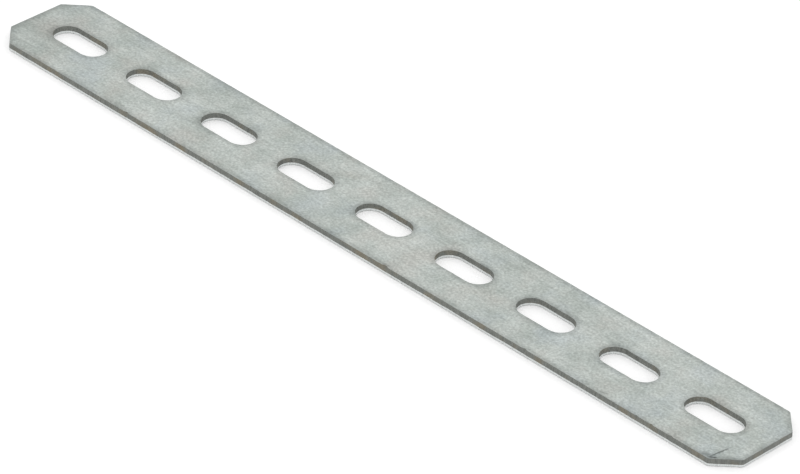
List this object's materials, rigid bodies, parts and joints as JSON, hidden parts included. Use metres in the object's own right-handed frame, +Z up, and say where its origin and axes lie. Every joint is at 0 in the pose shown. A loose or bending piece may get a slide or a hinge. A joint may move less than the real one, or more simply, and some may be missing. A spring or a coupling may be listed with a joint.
{
  "type": "mending plate",
  "caption": "Flat galvanised steel mending plate with a row of equal slots along its middle and cut-off corners, for bolting two members end to end.",
  "frame": {"origin": "middle of the underside, on the surface the plate lies on", "axes": "+X along the plate and its row of slots, +Y across it, +Z up through its thickness to the face that the punch broke out through"},
  "size_m": [0.3, 0.035, 0.0025],
  "materials": {
    "galvanised_steel": "hot-dip galvanised, matt, with bright and dark bands on its punched edges"
  },
  "bodies": {
    "root": {"plate": "galvanised_steel"}
  },
  "joints": []
}
